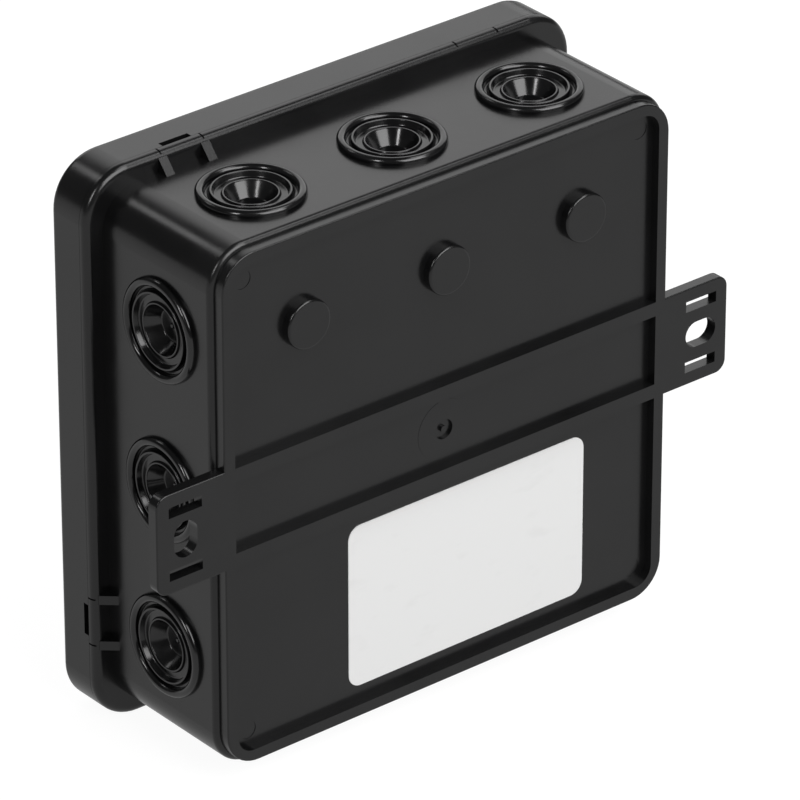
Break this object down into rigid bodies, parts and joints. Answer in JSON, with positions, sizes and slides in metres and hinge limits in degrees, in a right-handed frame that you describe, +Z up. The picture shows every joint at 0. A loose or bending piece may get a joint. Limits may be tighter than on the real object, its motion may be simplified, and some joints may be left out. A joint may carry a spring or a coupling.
{
  "type": "pv junction box",
  "caption": "Square black surface-mount junction box with soft membrane cable entries in each side, two wall ears, a rear frame and a lift-off lid.",
  "frame": {"origin": "on the wall plane, midway between the two ears", "axes": "+Z up, -Y out of the wall towards the lid, +X to the right as seen from the lid's side"},
  "size_m": [0.1664, 0.0538, 0.14],
  "materials": {
    "housing": "satin black moulding",
    "membrane": "smooth, glossy black",
    "label": "plain white, slightly smudged",
    "seal": "matt",
    "steel": "zinc plated",
    "brass": "plain",
    "terminal_plastic": "grey",
    "earth_plastic": "green"
  },
  "bodies": {
    "housing": {"base": "housing", "membrane_top_1": "membrane", "membrane_top_2": "membrane", "membrane_top_3": "membrane", "membrane_right_1": "membrane", "membrane_right_2": "membrane", "membrane_right_3": "membrane", "membrane_left_1": "membrane", "membrane_left_2": "membrane", "membrane_left_3": "membrane", "membrane_bottom_1": "membrane", "membrane_bottom_2": "membrane", "membrane_bottom_3": "membrane", "label": "label", "din_rail": "steel", "rail_screws": "steel", "terminal_block_1": "terminal_plastic", "terminal_block_2": "terminal_plastic", "terminal_block_3": "terminal_plastic", "terminal_block_4": "terminal_plastic", "terminal_block_5": "earth_plastic", "current_bar_1": "brass", "current_bar_2": "brass", "current_bar_3": "brass", "current_bar_4": "brass", "current_bar_5": "brass", "clamp_screws": "steel", "end_stop_left": "terminal_plastic", "end_stop_right": "terminal_plastic"},
    "cover": {"lid": "housing", "lid_seal": "seal"}
  },
  "joints": [
    {"name": "lid_lift", "type": "slide", "parent": "housing", "child": "cover", "axis": [0, -1, 0], "range_m": [0, 0.04]}
  ]
}
